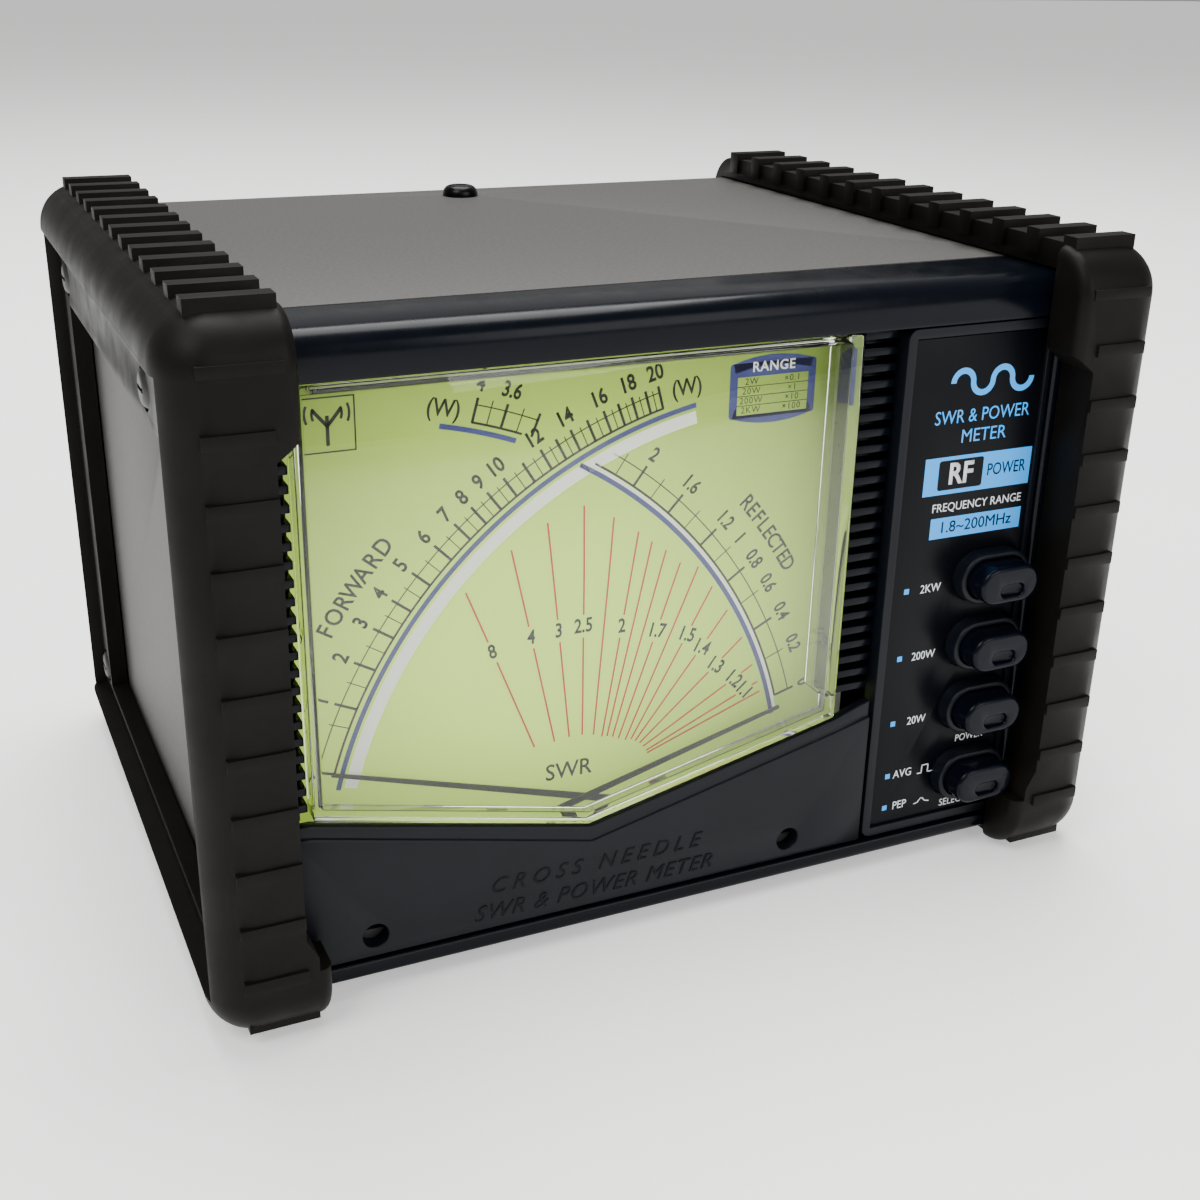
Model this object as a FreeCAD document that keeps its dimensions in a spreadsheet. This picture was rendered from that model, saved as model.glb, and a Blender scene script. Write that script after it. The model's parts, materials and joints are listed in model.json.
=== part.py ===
import FreeCAD, Part
import os
import math
import Sketcher

# Bench SWR and power meter. Millimetres, +Z up, the front faces -Y.
# Origin: centre of the whole box on the table.

os.makedirs("parts", exist_ok=True)
doc = FreeCAD.newDocument("swr_meter")
V = FreeCAD.Vector

sheet = doc.addObject("Spreadsheet::Sheet", "dims")
rowCount = 0


class Dim:
    """A size with its value and the spreadsheet expression that drives it."""

    def __init__(self, value, text):
        self.value = float(value)
        self.text = text

    def mixed(self, other, sign, flip=False):
        a = self
        b = other if isinstance(other, Dim) else Dim(other, repr(float(other)))
        if flip:
            a, b = b, a
        value = {"+": a.value + b.value, "-": a.value - b.value, "*": a.value * b.value,
                 "/": a.value / b.value if b.value else 0.0}[sign]
        return Dim(value, "(" + a.text + " " + sign + " " + b.text + ")")

    def __add__(self, other):
        return self.mixed(other, "+")

    def __radd__(self, other):
        return self.mixed(other, "+", True)

    def __sub__(self, other):
        return self.mixed(other, "-")

    def __rsub__(self, other):
        return self.mixed(other, "-", True)

    def __mul__(self, other):
        return self.mixed(other, "*")

    def __rmul__(self, other):
        return self.mixed(other, "*", True)

    def __truediv__(self, other):
        return self.mixed(other, "/")

    def __neg__(self):
        return Dim(-self.value, "(0 - " + self.text + ")")


def num(size):
    return size.value if isinstance(size, Dim) else float(size)


def dim(name, value):
    global rowCount
    rowCount += 1
    sheet.set("A" + str(rowCount), name)
    sheet.set("B" + str(rowCount), str(value))
    sheet.setAlias("B" + str(rowCount), name)
    return Dim(value, "dims." + name)


# ---- driving dimensions -------------------------------------------------
caseHalf = dim("case_half_wide", 68.0)
caseLow = dim("case_bottom", 3.0)
caseTop = dim("case_top", 97.2)
bezelFront = dim("bezel_front", -57.2)
seam = dim("cover_seam", -42.9)
caseRear = dim("case_rear", 48.0)
sheetThick = dim("sheet_thick", 1.2)
bumperOut = dim("bumper_out", 74.0)
bumperIn = dim("bumper_in", 59.4)
tabIn = dim("bumper_tab_in", 57.5)
legIn = dim("bumper_leg_in", 61.0)
bumperFront = dim("bumper_front", -64.5)
bumperRear = dim("bumper_rear", 51.5)
bumperLow = dim("bumper_low", 1.0)
bumperTop = dim("bumper_top", 101.5)
barHigh = dim("bar_high", 1.2)
barLow = dim("bar_low", 0.5)
barPitch = dim("bar_pitch", 8.4)
cornerRound = dim("corner_round", 7.4)
edgeRound = dim("edge_round", 6.8)
recessDeep = dim("recess_deep", 2.8)
recessFront = dim("recess_front", -60.0)
recessRear = dim("recess_rear", 47.6)
recessLow = dim("recess_low", 7.3)
recessTop = dim("recess_top", 94.0)
openFront = dim("opening_front", -53.0)
openRear = dim("opening_rear", 39.5)
openLow = dim("opening_low", 10.0)
openTop = dim("opening_top", 82.0)
frameSide = dim("frame_side", 60.1)
gapFit = dim("gap_fit", 0.3)
winLeft = dim("window_left", -57.0)
winRight = dim("window_right", 26.3)
winTop = dim("window_top", 90.3)
winSide = dim("window_side", 29.3)
winPoint = dim("window_point", 19.6)
meterEnd = dim("meter_end", 32.8)
coverWall = dim("cover_wall", 1.5)
coverFront = dim("cover_front", -56.0)
lipDeep = dim("cover_lip_deep", 3.8)
dialFront = dim("dial_front", -45.6)
dialThick = dim("dial_thick", 0.8)
pivotHigh = dim("pivot_high", 9.9)
pivotRight = dim("pivot_right", 17.5)
pivotLeft = dim("pivot_left", -49.3)
zeroRight = dim("zero_right", 19.0)
zeroLeft = dim("zero_left", -49.2)
zeroHigh = dim("zero_high", 9.2)
shaftRad = dim("shaft_rad", 0.6)
runFit = dim("run_fit", 0.06)
needleLong = dim("needle_long", 72.6)
panelLeft = dim("panel_left", 33.4)
panelRight = dim("panel_right", 59.9)
panelFront = dim("panel_front", -56.4)
buttonMid = dim("button_mid", 53.0)
collarRim = dim("collar_rim", 2.2)
capWide = dim("cap_wide", 10.9)
capHigh = dim("cap_high", 6.2)
capFit = dim("cap_fit", 0.25)
capFront = dim("cap_front", -62.0)
socketHalf = dim("socket_half_pitch", 20.0)
socketHigh = dim("socket_high", 52.0)
socketThread = dim("socket_thread_rad", 7.9)
socketEnd = dim("socket_end", 65.0)
jackX = dim("jack_x", -44.0)
jackHigh = dim("jack_high", 20.0)
doc.recompute()

buttonHigh = {"upper": 49.9, "middle": 38.4, "lower": 27.1, "selector": 14.7}


# ---- helpers ------------------------------------------------------------
def bind(thing, prop, size):
    setattr(thing, prop, num(size))
    if isinstance(size, Dim):
        thing.setExpression(prop, size.text)


def body(name):
    made = doc.addObject("PartDesign::Body", name)
    made.Label = name
    return made


axisInfo = {"x": ("YZ_Plane", 1), "y": ("XZ_Plane", -1), "z": ("XY_Plane", 1)}


def sketchAt(owner, axis, at):
    """A sketch square to an axis, at a coordinate along it."""
    role, sign = axisInfo[axis]
    made = owner.newObject("Sketcher::SketchObject", owner.Name + "_s")
    plane = [f for f in owner.Origin.OriginFeatures if f.Role == role][0]
    made.AttachmentSupport = [(plane, "")]
    made.MapMode = "FlatFace"
    where = at if sign > 0 else (-at)
    made.AttachmentOffset = FreeCAD.Placement(V(0, 0, num(where)), FreeCAD.Rotation())
    if isinstance(where, Dim):
        made.setExpression("AttachmentOffset.Base.z", where.text)
    return made


conCount = 0


def pinned(sk, kind, geo, point, size):
    """Ties one coordinate of a sketch point to a size."""
    global conCount
    index = sk.addConstraint(Sketcher.Constraint(kind, -1, 1, geo, point, num(size)))
    if isinstance(size, Dim):
        conCount += 1
        name = "size" + str(conCount)
        sk.renameConstraint(index, name)
        sk.setExpression("Constraints." + name, size.text)


def ring(sk, corners):
    """A closed run of lines whose corners are tied to their sizes."""
    points = [V(num(a), num(b), 0) for a, b in corners]
    first = sk.GeometryCount
    count = len(points)
    for i in range(count):
        sk.addGeometry(Part.LineSegment(points[i], points[(i + 1) % count]), False)
    for i in range(count):
        sk.addConstraint(Sketcher.Constraint("Coincident", first + i, 2, first + (i + 1) % count, 1))
    for i in range(count):
        pinned(sk, "DistanceX", first + i, 1, corners[i][0])
        pinned(sk, "DistanceY", first + i, 1, corners[i][1])


def box2(x0, y0, x1, y1):
    return [(x0, y0), (x1, y0), (x1, y1), (x0, y1)]


def disc(sk, x, y, radius):
    geo = sk.addGeometry(Part.Circle(V(num(x), num(y), 0), V(0, 0, 1), num(radius)), False)
    pinned(sk, "DistanceX", geo, 3, x)
    pinned(sk, "DistanceY", geo, 3, y)
    global conCount
    index = sk.addConstraint(Sketcher.Constraint("Radius", geo, num(radius)))
    if isinstance(radius, Dim):
        conCount += 1
        name = "size" + str(conCount)
        sk.renameConstraint(index, name)
        sk.setExpression("Constraints." + name, radius.text)


def oblong(sk, x, y, wide, high):
    """A racetrack lying along the sketch's first axis."""
    r = num(high) / 2
    half = num(wide) / 2 - r
    cx, cy = num(x), num(y)
    sk.addGeometry(Part.LineSegment(V(cx - half, cy + r, 0), V(cx + half, cy + r, 0)), False)
    sk.addGeometry(Part.LineSegment(V(cx + half, cy - r, 0), V(cx - half, cy - r, 0)), False)
    for side, start in ((1, -90), (-1, 90)):
        circle = Part.Circle(V(cx + side * half, cy, 0), V(0, 0, 1), r)
        arc = Part.ArcOfCircle(circle, math.radians(start), math.radians(start + 180))
        sk.addGeometry(arc, False)


def loops(sk, shapes):
    for shape in shapes:
        if shape[0] == "disc":
            disc(sk, *shape[1:])
        elif shape[0] == "oblong":
            oblong(sk, *shape[1:])
        else:
            ring(sk, shape[1])


def add(owner, axis, low, high, *shapes):
    """Adds material between two coordinates along an axis."""
    at = high if axis == "y" else low
    sk = sketchAt(owner, axis, at)
    loops(sk, shapes)
    pad = owner.newObject("PartDesign::Pad", owner.Name + "_pad")
    pad.Profile = sk
    bind(pad, "Length", high - low)
    sk.Visibility = False
    doc.recompute()
    return pad


def cut(owner, axis, low, high, *shapes):
    """Takes material away between two coordinates along an axis."""
    before = owner.Shape.Volume
    at = low if axis == "y" else high
    sk = sketchAt(owner, axis, at)
    loops(sk, shapes)
    made = owner.newObject("PartDesign::Pocket", owner.Name + "_cut")
    made.Profile = sk
    bind(made, "Length", high - low)
    sk.Visibility = False
    doc.recompute()
    if owner.Shape.Volume >= before - 1e-6:
        print("CUT TOOK NOTHING", owner.Name, made.Name)
    return made


def repeat(owner, feature, axis, count, step):
    role = {"x": "X_Axis", "y": "Y_Axis", "z": "Z_Axis"}[axis]
    made = owner.newObject("PartDesign::LinearPattern", owner.Name + "_row")
    made.Originals = [feature]
    line = [f for f in owner.Origin.OriginFeatures if f.Role == role][0]
    made.Direction = (line, [""])
    made.Occurrences = count
    bind(made, "Length", step * (count - 1))
    owner.Tip = made
    doc.recompute()
    return made


def soften(owner, size, test, kind="Fillet"):
    """Rounds or bevels the edges for which the test holds."""
    base = owner.Tip
    names = []
    for i, edge in enumerate(base.Shape.Edges):
        if test(edge):
            names.append("Edge" + str(i + 1))
    if not names:
        print("NO EDGES", owner.Name)
        return None
    made = owner.newObject("PartDesign::" + kind, owner.Name + "_" + kind.lower())
    made.Base = (base, names)
    bind(made, "Radius" if kind == "Fillet" else "Size", size)
    doc.recompute()
    if not made.isValid() or made.Shape.isNull() or not made.Shape.isValid():
        print("SOFTEN FAILED", owner.Name, len(names))
        owner.removeObject(made)
        doc.removeObject(made.Name)
        owner.Tip = base
        doc.recompute()
        return None
    return made


def spans(edge, axis):
    box = edge.BoundBox
    return {"x": box.XLength, "y": box.YLength, "z": box.ZLength}[axis]


def near(a, b, slack=0.02):
    return abs(a - num(b)) < slack


def tube(name, axis, x, y, z, radius, length):
    made = doc.addObject("Part::Cylinder", name)
    bind(made, "Radius", radius)
    bind(made, "Height", length)
    turn = {"x": FreeCAD.Rotation(V(0, 1, 0), 90), "y": FreeCAD.Rotation(V(1, 0, 0), -90),
            "z": FreeCAD.Rotation()}[axis]
    made.Placement = FreeCAD.Placement(V(num(x), num(y), num(z)), turn)
    for key, size in (("x", x), ("y", y), ("z", z)):
        if isinstance(size, Dim):
            made.setExpression("Placement.Base." + key, size.text)
    return made


def block(name, x, y, z, wide, deep, high):
    made = doc.addObject("Part::Box", name)
    bind(made, "Length", wide)
    bind(made, "Width", deep)
    bind(made, "Height", high)
    made.Placement = FreeCAD.Placement(V(num(x), num(y), num(z)), FreeCAD.Rotation())
    for key, size in (("x", x), ("y", y), ("z", z)):
        if isinstance(size, Dim):
            made.setExpression("Placement.Base." + key, size.text)
    return made


def joined(name, pieces):
    made = doc.addObject("Part::MultiFuse", name)
    made.Shapes = pieces
    doc.recompute()
    return made


def without(name, base, tool):
    made = doc.addObject("Part::Cut", name)
    made.Base = base
    made.Tool = tool
    doc.recompute()
    return made


def group(name, pieces):
    made = doc.addObject("Part::Compound", name)
    made.Links = pieces
    made.Label = name
    doc.recompute()
    nodes[name] = made
    return made


nodes = {}


def keep(name, thing):
    thing.Label = name
    nodes[name] = thing


def screws(name, places, axis, sign, shank, head, headHigh, dome=False):
    """Fasteners as separate solids: a shank and a slotted or domed head."""
    made = []
    for i, (x, y, z, long) in enumerate(places):
        tag = name + "_" + str(i)
        start = {"x": 0, "y": 1, "z": 2}[axis]
        at = [x, y, z]
        shankAt = list(at)
        headAt = list(at)
        if sign > 0:
            shankAt[start] = at[start] - long
        else:
            headAt[start] = at[start] - headHigh
        rod = tube(tag + "_rod", axis, shankAt[0], shankAt[1], shankAt[2], shank, long)
        cap = tube(tag + "_head", axis, headAt[0], headAt[1], headAt[2], head, headHigh)
        doc.recompute()
        if dome:
            soft = doc.addObject("Part::Fillet", tag + "_dome")
            soft.Base = cap
            outer = 1
            best = None
            for n, edge in enumerate(cap.Shape.Edges):
                box = edge.BoundBox
                level = [box.Center.x, box.Center.y, box.Center.z][start]
                flat = [box.XLength, box.YLength, box.ZLength][start] < 0.01
                if flat and (best is None or level * sign > best):
                    best = level * sign
                    outer = n + 1
            soft.Edges = [(outer, num(headHigh) * 0.8, num(headHigh) * 0.8)]
            doc.recompute()
            cap = soft
        whole = joined(tag + "_all", [rod, cap])
        slotAt = headAt[start] + headHigh * 0.6 if sign > 0 else headAt[start] - 0.01
        across = [head * 2.2, head * 2.2, head * 2.2]
        low = [x - head * 1.1, y - head * 1.1, z - head * 1.1]
        thin = {0: 2, 1: 2, 2: 1}[start]
        across[thin] = head * 0.22
        low[thin] = at[thin] - head * 0.11
        across[start] = headHigh * 0.4 + 0.01
        low[start] = slotAt
        other = 3 - start - thin
        across[other] = head * 1.3
        low[other] = at[other] - head * 0.65
        slot = block(tag + "_slot", low[0], low[1], low[2], across[0], across[1], across[2])
        made.append(without(tag, whole, slot))
    return group(name, made)


# ---- side bumpers -------------------------------------------------------
def outerEdge(edge):
    """True for the rim of the bumper's outer face, false for its opening."""
    box = edge.BoundBox
    if not (near(box.XMin, bumperOut) and near(box.XMax, bumperOut)):
        return False
    inside = (box.YMin > num(openFront) - 1 and box.YMax < num(openRear) + 1
              and box.ZMin > num(openLow) - 1 and box.ZMax < num(openTop) + 1)
    return not inside


def atCorner(edge):
    """True for the four outer corners seen from the side."""
    box = edge.BoundBox
    return spans(edge, "x") > 10 and (near(box.YMin, bumperFront) or near(box.YMax, bumperRear))


bumper = body("bumper_right")
add(bumper, "x", tabIn, bumperOut,
    ("ring", box2(bumperFront, bumperLow, bumperRear, bumperTop)),
    ("ring", box2(openFront, openLow, openRear, openTop)))
soften(bumper, cornerRound, atCorner)
soften(bumper, edgeRound, outerEdge)
cut(bumper, "x", tabIn - 1.0, bumperIn,
    ("ring", box2(bezelFront - gapFit, -10.0, bumperRear + 9.0, 120.0)))
cut(bumper, "y", bumperFront - 1.0, bezelFront - gapFit,
    ("ring", [(tabIn - 3.0, 11.4), (tabIn + 1.9, 11.4), (tabIn + 1.9, 13.6), (legIn, 16.6),
              (legIn, 83.6), (tabIn - 3.0, 88.6)]))
cut(bumper, "x", tabIn - 4.0, caseHalf + gapFit,
    ("ring", box2(bezelFront - gapFit, caseLow - gapFit, caseRear + gapFit, caseTop + gapFit)))
soften(bumper, 1.8, lambda e: spans(e, "z") > 3 and near(e.BoundBox.XMax, tabIn)
       and near(e.BoundBox.YMin, bumperFront))
cut(bumper, "x", bumperOut - recessDeep, bumperOut + 1.0,
    ("ring", box2(recessFront, recessLow, recessRear, recessTop)))
grooveIn = 1.4
grooveWide = 1.1
grooveTop = recessTop - grooveIn
for edge0, edge1 in ((grooveTop - grooveWide, grooveTop), (recessLow + 0.6, recessLow + 1.5)):
    cut(bumper, "x", bumperOut - recessDeep - 0.7, bumperOut - recessDeep + 0.1,
        ("ring", box2(recessFront + grooveIn, edge0, recessRear - grooveIn, edge1)))
cut(bumper, "x", bumperOut - recessDeep - 0.7, bumperOut - recessDeep + 0.1,
    ("ring", box2(recessRear - grooveIn - grooveWide, recessLow + 6.6,
                  recessRear - grooveIn, grooveTop - grooveWide - 0.6)))
barOut = bumperOut - 4.3
barBite = 1.2
bars = add(bumper, "z", bumperTop - 2.6, bumperTop + barHigh,
           ("ring", box2(bumperIn - 0.6, -59.7, barOut, -56.8)))
repeat(bumper, bars, "y", 13, barPitch)
bars = add(bumper, "z", bumperLow - 1.0, bumperLow + barBite,
           ("ring", box2(bumperIn + 0.2, -53.4 + barPitch, barOut, -50.0 + barPitch)))
repeat(bumper, bars, "y", 11, barPitch)
for face, out in ((bumperFront, -1), (bumperRear, 1)):
    low, high = (face - barLow, face + barBite) if out < 0 else (face - barBite, face + barLow)
    bars = add(bumper, "y", low, high, ("ring", box2(legIn, 10.4, barOut, 12.2)))
    repeat(bumper, bars, "z", 10, barPitch)
    inner = tabIn + 1.8 if out < 0 else bumperIn + 1.0
    low, high = (face - 0.1, face + barBite) if out < 0 else (face - barBite, face + 0.1)
    add(bumper, "y", low, high, ("ring", box2(inner, 94.4, barOut, 95.9)))
    low, high = (face + 1.9, face + 3.8) if out < 0 else (face - 3.8, face - 1.9)
    add(bumper, "y", low, high, ("ring", box2(inner, 2.4, barOut - 0.6, 3.7)))
sidePlaces = [(-36.0, 86.6), (40.0, 86.6), (43.2, 12.6)]
sideSeat = bumperOut - recessDeep - 1.2
for y, z in sidePlaces:
    cut(bumper, "x", bumperIn - 1.0, bumperOut + 1.0, ("disc", y, z, 1.7))
    cut(bumper, "x", sideSeat, bumperOut + 1.0, ("disc", y, z, 3.2))
keep("bumper_right", bumper)
mirror = doc.addObject("Part::Mirroring", "bumper_left")
mirror.Source = bumper
mirror.Normal = V(1, 0, 0)
mirror.Base = V(0, 0, 0)
doc.recompute()
keep("bumper_left", mirror)
seatAt = num(sideSeat)
screws("bumper_screws_right", [(seatAt, y, z, 7.4) for y, z in sidePlaces], "x", 1, 1.5, 2.9, 1.8, True)
screws("bumper_screws_left", [(-seatAt, y, z, 7.4) for y, z in sidePlaces], "x", -1, 1.5, 2.9, 1.8, True)

# ---- case ---------------------------------------------------------------
cover = body("top_cover")
add(cover, "y", seam + 0.15, caseRear, ("ring", box2(-caseHalf, caseLow + 1.5, caseHalf, caseTop)))
cut(cover, "y", seam - 1.0, caseRear + 1.0,
    ("ring", box2(-caseHalf + sheetThick, caseLow - 1.0, caseHalf - sheetThick, caseTop - sheetThick)))
soften(cover, 1.6, lambda e: spans(e, "y") > 50 and near(e.BoundBox.ZMin, caseTop))
for y, z in sidePlaces:
    cut(cover, "x", -caseHalf - 1.0, caseHalf + 1.0, ("disc", y, z, 1.6))
cut(cover, "z", caseTop - 4.0, caseTop + 1.0, ("disc", 0.0, 40.5, 1.7))
keep("top_cover", cover)
screws("top_screw", [(0.0, 40.5, 97.2, 6.0)], "z", 1, 1.5, 3.2, 1.9, True)

tray = body("base_tray")
trayHalf = caseHalf - sheetThick - 0.2
add(tray, "z", caseLow, caseLow + sheetThick, ("ring", box2(-trayHalf, seam + 0.2, trayHalf, caseRear - 1.8)))
for x0, x1 in ((-trayHalf, -trayHalf + sheetThick), (trayHalf - sheetThick, trayHalf)):
    add(tray, "z", caseLow + 0.5, caseLow + 13.6, ("ring", box2(x0, seam + 0.2, x1, caseRear - 1.8)))
lowSide = sidePlaces[2]
cut(tray, "x", -caseHalf - 1.0, caseHalf + 1.0, ("disc", lowSide[0], lowSide[1], 1.6))
boardPosts = [(-44.0, -22.0), (44.0, -22.0), (-44.0, 14.0), (44.0, 14.0)]
for x, y in boardPosts:
    cut(tray, "z", caseLow - 1.0, caseLow + 3.0, ("disc", x, y, 1.3))
keep("base_tray", tray)

rear = body("rear_panel")
add(rear, "y", caseRear - 1.6, caseRear - 0.4,
    ("ring", box2(-caseHalf + sheetThick + 0.2, caseLow + sheetThick + 0.2,
                  caseHalf - sheetThick - 0.2, caseTop - sheetThick - 0.2)))
for x in (-socketHalf, socketHalf):
    cut(rear, "y", caseRear - 3.0, caseRear + 1.0, ("disc", x, socketHigh, 6.4))
    for dx in (-9.1, 9.1):
        for dz in (-9.1, 9.1):
            cut(rear, "y", caseRear - 3.0, caseRear + 1.0, ("disc", x + dx, socketHigh + dz, 1.6))
cut(rear, "y", caseRear - 3.0, caseRear + 1.0, ("disc", jackX, jackHigh, 4.1))
cut(rear, "y", caseRear - 3.0, caseRear + 1.0, ("disc", -50.0, 88.0, 1.6), ("disc", 50.0, 88.0, 1.6))
cut(rear, "y", caseRear - 3.0, caseRear + 1.0, ("disc", 50.0, 12.0, 1.6), ("disc", 0.0, 12.0, 1.6))
keep("rear_panel", rear)
panelBlocks = []
for i, x in enumerate((-50.0, 50.0)):
    lug = block("lug" + str(i), x - 4.0, 38.2, 84.0, 8.0, 8.0, 11.8)
    hole = tube("lughole" + str(i), "y", x, 36.0, 88.0, 1.2, 12.0)
    panelBlocks.append(without("lugcut" + str(i), lug, hole))
for i, x in enumerate((0.0, 50.0)):
    lug = block("lowlug" + str(i), x - 4.0, 38.2, 4.4, 8.0, 8.0, 11.0)
    hole = tube("lowlughole" + str(i), "y", x, 36.0, 12.0, 1.2, 12.0)
    panelBlocks.append(without("lowlugcut" + str(i), lug, hole))
group("panel_lugs", panelBlocks)
screws("rear_panel_screws", [(-50.0, 47.6, 88.0, 7.0), (50.0, 47.6, 88.0, 7.0), (50.0, 47.6, 12.0, 7.0),
                             (0.0, 47.6, 12.0, 7.0)], "y", 1, 1.15, 2.6, 1.6, True)

# ---- front frame --------------------------------------------------------
bezel = body("front_bezel")
bezelHalf = caseHalf - 0.4
add(bezel, "y", bezelFront, seam - 0.15,
    ("ring", box2(-bezelHalf, caseLow, bezelHalf, caseTop)),
    ("ring", box2(-frameSide, caseLow + 2.4, frameSide, caseTop - 6.5)))
soften(bezel, 3.4, lambda e: spans(e, "x") > 100 and near(e.BoundBox.ZMin, caseTop)
       and near(e.BoundBox.YMin, bezelFront))
soften(bezel, 0.8, lambda e: spans(e, "x") > 100 and near(e.BoundBox.ZMin, caseLow)
       and near(e.BoundBox.YMin, bezelFront))
keep("front_bezel", bezel)

fascia = body("meter_fascia")
fasciaFront = bezelFront + 0.7
fasciaLow = caseLow + 2.9
meterStart = Dim(-59.9, "-59.9")
winMid = (winLeft + winRight) / 2
add(fascia, "y", fasciaFront, fasciaFront + 2.2,
    ("ring", [(meterStart, fasciaLow), (meterEnd, fasciaLow), (meterEnd, winSide + 1.8),
              (winRight + 0.4, winSide - 0.4), (winMid, winPoint - 0.4), (winLeft - 0.4, winSide - 0.4),
              (meterStart, winSide - 0.4)]))
for x in (zeroLeft, zeroRight):
    add(fascia, "y", fasciaFront + 1.8, fasciaFront + 6.0, ("disc", x, zeroHigh, 3.2))
    cut(fascia, "y", fasciaFront - 1.0, fasciaFront + 8.0, ("disc", x, zeroHigh, 1.9))
cut(fascia, "y", fasciaFront - 1.0, fasciaFront + 0.5,
    ("ring", [(meterStart - 1.0, winSide - 2.0), (winLeft - 0.4, winSide - 2.2), (winMid, winPoint - 2.7),
              (winRight + 0.4, winSide - 2.5), (meterEnd + 1.0, winSide - 0.6),
              (meterEnd + 1.0, winSide + 6.0),
              (meterStart - 1.0, winSide + 6.0)]))
keep("meter_fascia", fascia)

for name, x0, x1 in (("rib_strip_left", -59.9, -57.5), ("rib_strip_right", 27.0, 32.8)):
    strip = body(name)
    low = 32.4 if name.endswith("right") else 30.0
    add(strip, "y", Dim(-52.0, "-52.0"), Dim(-49.6, "-49.6"),
        ("ring", box2(Dim(x0, repr(x0)), low, x1, 90.4)))
    rib = add(strip, "y", Dim(-54.6, "-54.6"), Dim(-51.9, "-51.9"),
              ("ring", box2(Dim(x0, repr(x0)), low + 0.4, x1, low + 1.6)))
    repeat(strip, rib, "z", 24, Dim((88.6 - low) / 23, repr((88.6 - low) / 23)))
    keep(name, strip)

panel = body("button_panel")
panelLow = caseLow + 2.9
add(panel, "y", panelFront, panelFront + 3.0, ("ring", box2(panelLeft, panelLow, panelRight, 90.4)))
soften(panel, 1.6, lambda e: spans(e, "y") > 2.5 and near(spans(e, "x"), 0) and near(spans(e, "z"), 0))
cut(panel, "y", panelFront - 1.0, panelFront + 0.9,
    ("ring", box2(panelLeft + 1.5, panelLow + 1.5, panelRight - 0.9, 88.9)))
for z in buttonHigh.values():
    add(panel, "y", panelFront - 2.0, panelFront + 1.4,
        ("oblong", buttonMid, z, capWide + collarRim, capHigh + collarRim))
soften(panel, 0.45, lambda e: near(e.BoundBox.YMin, panelFront - 2.0)
       and near(e.BoundBox.YMax, panelFront - 2.0))
for z in buttonHigh.values():
    cut(panel, "y", panelFront - 3.0, panelFront + 4.0,
        ("oblong", buttonMid, z, capWide + capFit * 2, capHigh + capFit * 2))
keep("button_panel", panel)

plate = body("label_plate")
add(plate, "y", panelFront + 0.45, panelFront + 0.9,
    ("ring", box2(panelLeft + 1.7, panelLow + 1.7, panelRight - 1.1, 88.7)))
for z in buttonHigh.values():
    cut(plate, "y", panelFront, panelFront + 1.4,
        ("oblong", buttonMid, z, capWide + collarRim + 0.4, capHigh + collarRim + 0.4))
keep("label_plate", plate)

# ---- buttons and switches ----------------------------------------------
for name, z in buttonHigh.items():
    cap = body("button_" + name)
    add(cap, "y", capFront, panelFront + 5.4, ("oblong", buttonMid, z, capWide, capHigh))
    soften(cap, 0.7, lambda e: near(e.BoundBox.YMin, capFront) and near(e.BoundBox.YMax, capFront))
    cut(cap, "y", capFront - 0.5, capFront + 0.9, ("oblong", buttonMid + 0.5, z - 0.9, 4.4, 2.0))
    add(cap, "y", panelFront + 5.0, Dim(-37.0, "-37.0"), ("disc", buttonMid, z, 1.5))
    keep("button_" + name, cap)


def switchBody(name, low, high, centres):
    made = body(name)
    add(made, "y", Dim(-45.0, "-45.0"), Dim(-31.4, "-31.4"),
        ("ring", box2(buttonMid - 5.6, low, buttonMid + 5.6, high)))
    for z in centres:
        cut(made, "y", Dim(-46.0, "-46.0"), Dim(-32.6, "-32.6"), ("disc", buttonMid, z, 1.5 + runFit))
    soften(made, 0.5, lambda e: spans(e, "y") > 12 and near(spans(e, "x"), 0) and near(spans(e, "z"), 0),
           "Chamfer")
    keep(name, made)


rangeHigh = [buttonHigh[k] for k in ("upper", "middle", "lower")]
switchBody("range_switch_bank", rangeHigh[2] - 4.6, rangeHigh[0] + 4.6, rangeHigh)
lone = buttonHigh["selector"]
switchBody("selector_switch", lone - 4.6, lone + 4.6, [lone])

postX = 41.0
board = body("switch_board")
add(board, "y", Dim(-31.2, "-31.2"), Dim(-29.6, "-29.6"), ("ring", box2(Dim(38.0, "38"), 6.6, 60.0, 64.0)))
cut(board, "y", Dim(-32.0, "-32.0"), Dim(-28.0, "-28.0"),
    ("disc", postX, 9.4, 1.6), ("disc", postX, 61.0, 1.6))
keep("switch_board", board)
pillars = []
for i, z in enumerate((9.4, 61.0)):
    rod = tube("switchpost" + str(i), "y", postX, panelFront + 3.0, z, 2.2, -31.2 - (panelFront + 3.0))
    pillars.append(rod)
group("switch_pillars", pillars)
screws("switch_board_screws", [(postX, -29.6, z, 1.6) for z in (9.4, 61.0)], "y", 1, 1.4, 2.6, 1.5, True)

# ---- meter --------------------------------------------------------------
clear = body("clear_cover")


def window(shift):
    return [(winLeft + shift, winSide + shift * 0.78), ((winLeft + winRight) / 2, winPoint + shift * 1.03),
            (winRight - shift, winSide + shift * 0.78), (winRight - shift, winTop - shift),
            (winLeft + shift, winTop - shift)]


zero = Dim(0.0, "0")
add(clear, "y", coverFront, dialFront - 2.4, ("ring", window(zero)))
cut(clear, "y", coverFront + coverWall, dialFront, ("ring", window(coverWall)))
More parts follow.
